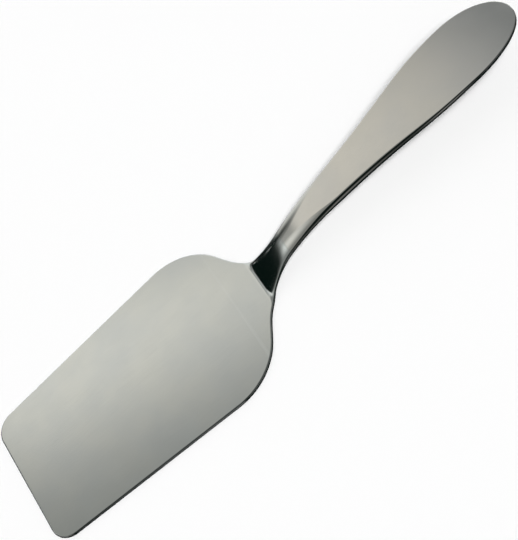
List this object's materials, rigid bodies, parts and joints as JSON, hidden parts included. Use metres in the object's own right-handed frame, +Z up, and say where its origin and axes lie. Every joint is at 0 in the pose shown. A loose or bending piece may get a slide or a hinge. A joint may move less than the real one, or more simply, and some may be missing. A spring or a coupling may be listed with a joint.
{
  "type": "serving spatula",
  "caption": "Flat serving spatula with a tapered blade, rounded shoulders, a cranked neck and a raised teardrop hollow handle.",
  "frame": {"origin": "on the floor plane under the blade's flat underside, below the middle of the overall length and width", "axes": "+X along the long axis from the blade's front edge to the handle's end, +Y across the blade, +Z up from the surface that the blade lies on"},
  "size_m": [0.255, 0.0756, 0.0261],
  "materials": {
    "blade_steel": "satin",
    "handle_steel": "satin",
    "weld_steel": "satin",
    "cement": "matte"
  },
  "bodies": {
    "root": {"blade": "blade_steel", "handle_top_shell": "handle_steel", "handle_bottom_shell": "handle_steel", "seam_weld": "weld_steel", "neck_weld": "weld_steel", "tang_cement": "cement"}
  },
  "joints": []
}
